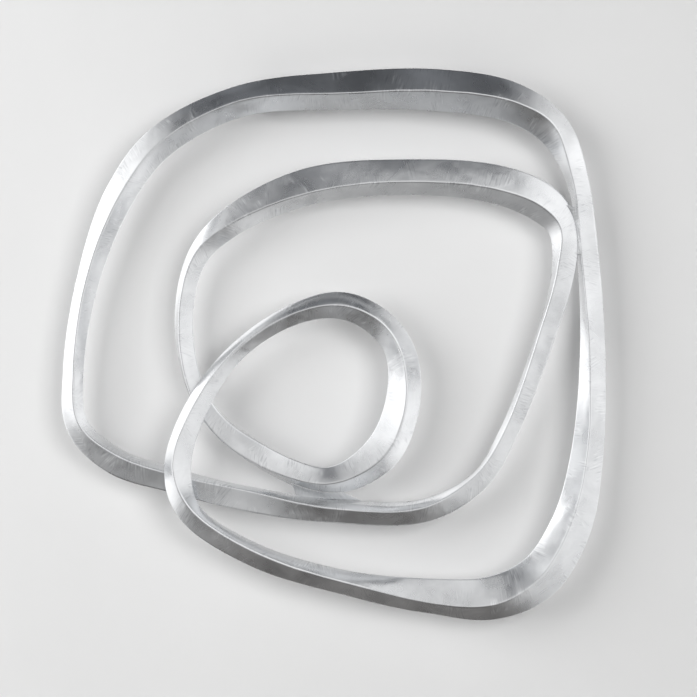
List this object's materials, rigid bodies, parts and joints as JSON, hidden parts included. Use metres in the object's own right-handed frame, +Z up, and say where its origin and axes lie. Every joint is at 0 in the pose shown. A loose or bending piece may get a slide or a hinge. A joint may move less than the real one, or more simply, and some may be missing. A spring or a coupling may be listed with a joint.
{
  "type": "wall sculpture",
  "caption": "Abstract metal wall sculpture: a square ground-aluminium bar that runs in nested loops, crosses over itself and closes, with keyhole hangers behind.",
  "frame": {"origin": "on the wall plane, midway between the entry holes of the two keyhole hangers", "axes": "+X to the viewer's right, +Z up, +Y into the wall, so the front faces -Y"},
  "size_m": [0.7218, 0.0854, 0.7317],
  "materials": {
    "cast_aluminium": "hand-ground, brushed across the bar",
    "weld_metal": "ground weld",
    "dowel_steel": "ground pin",
    "hanger_aluminium": "milled",
    "plate_steel": "zinc plated",
    "screw_steel": "zinc plated",
    "bumper_rubber": "matt"
  },
  "bodies": {
    "root": {"bar_outer_left": "cast_aluminium", "bar_outer_top": "cast_aluminium", "bar_outer_right": "cast_aluminium", "bar_bottom_right": "cast_aluminium", "bar_bottom_left": "cast_aluminium", "bar_rising": "cast_aluminium", "bar_inner_loop": "cast_aluminium", "bar_inner_bottom": "cast_aluminium", "bar_middle_left": "cast_aluminium", "bar_middle_top": "cast_aluminium", "bar_middle_right": "cast_aluminium", "bar_middle_bottom": "cast_aluminium", "dowel_outer_left": "dowel_steel", "dowel_outer_top": "dowel_steel", "dowel_outer_right": "dowel_steel", "dowel_bottom_right": "dowel_steel", "dowel_bottom_left": "dowel_steel", "dowel_rising": "dowel_steel", "dowel_inner_loop": "dowel_steel", "dowel_inner_bottom": "dowel_steel", "dowel_middle_left": "dowel_steel", "dowel_middle_top": "dowel_steel", "dowel_middle_right": "dowel_steel", "dowel_middle_bottom": "dowel_steel", "plug_weld_upper": "weld_metal", "plug_weld_lower": "weld_metal", "weld_bead_right": "weld_metal", "weld_bead_bottom": "weld_metal", "hanger_block_left": "hanger_aluminium", "keyhole_plate_left": "plate_steel", "hanger_screw_left_a": "screw_steel", "hanger_screw_left_b": "screw_steel", "hanger_block_right": "hanger_aluminium", "keyhole_plate_right": "plate_steel", "hanger_screw_right_a": "screw_steel", "hanger_screw_right_b": "screw_steel", "bumper_post_lower_left": "hanger_aluminium", "bumper_cap_lower_left": "bumper_rubber", "bumper_post_middle": "hanger_aluminium", "bumper_cap_middle": "bumper_rubber", "bumper_post_lower_right": "hanger_aluminium", "bumper_cap_lower_right": "bumper_rubber"}
  },
  "joints": []
}
